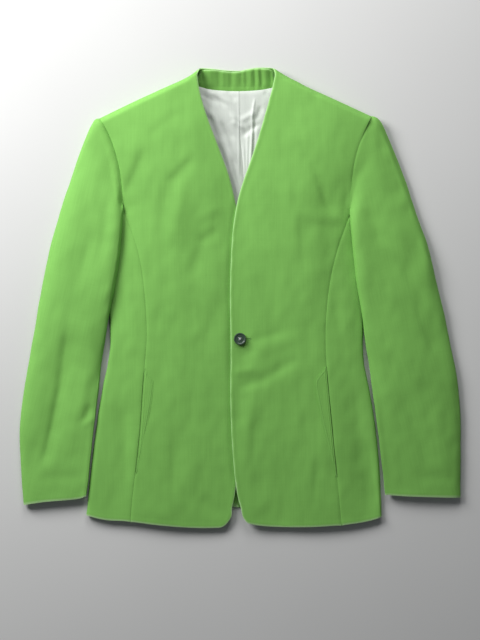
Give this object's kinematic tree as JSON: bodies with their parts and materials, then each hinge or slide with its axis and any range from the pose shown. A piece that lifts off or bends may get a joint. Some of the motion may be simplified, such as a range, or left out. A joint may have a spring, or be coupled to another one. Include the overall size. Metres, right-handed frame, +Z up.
{
  "type": "blazer",
  "caption": "Collarless single-button tailored blazer with princess seams and seam pockets, laid flat on its back, left front over right.",
  "frame": {"origin": "on the surface it lies on, under the middle of the outline", "axes": "+Z up off the surface, +Y from the hem to the neck, +X to the wearer's left"},
  "size_m": [0.7251, 0.7566, 0.0291],
  "materials": {
    "green_cloth": "matte",
    "white_lining": "satin",
    "button_plastic": "satin",
    "shank_thread": "matte"
  },
  "bodies": {
    "root": {"front_right": "green_cloth", "front_left": "green_cloth", "side_right": "green_cloth", "side_left": "green_cloth", "back_right": "green_cloth", "back_left": "green_cloth", "top_sleeve_right": "green_cloth", "top_sleeve_left": "green_cloth", "under_sleeve_right": "green_cloth", "under_sleeve_left": "green_cloth", "pocket_welt_right": "green_cloth", "pocket_welt_left": "green_cloth", "neck_facing": "green_cloth", "lining_right": "white_lining", "lining_left": "white_lining", "button": "button_plastic", "button_shank": "shank_thread"}
  },
  "joints": []
}
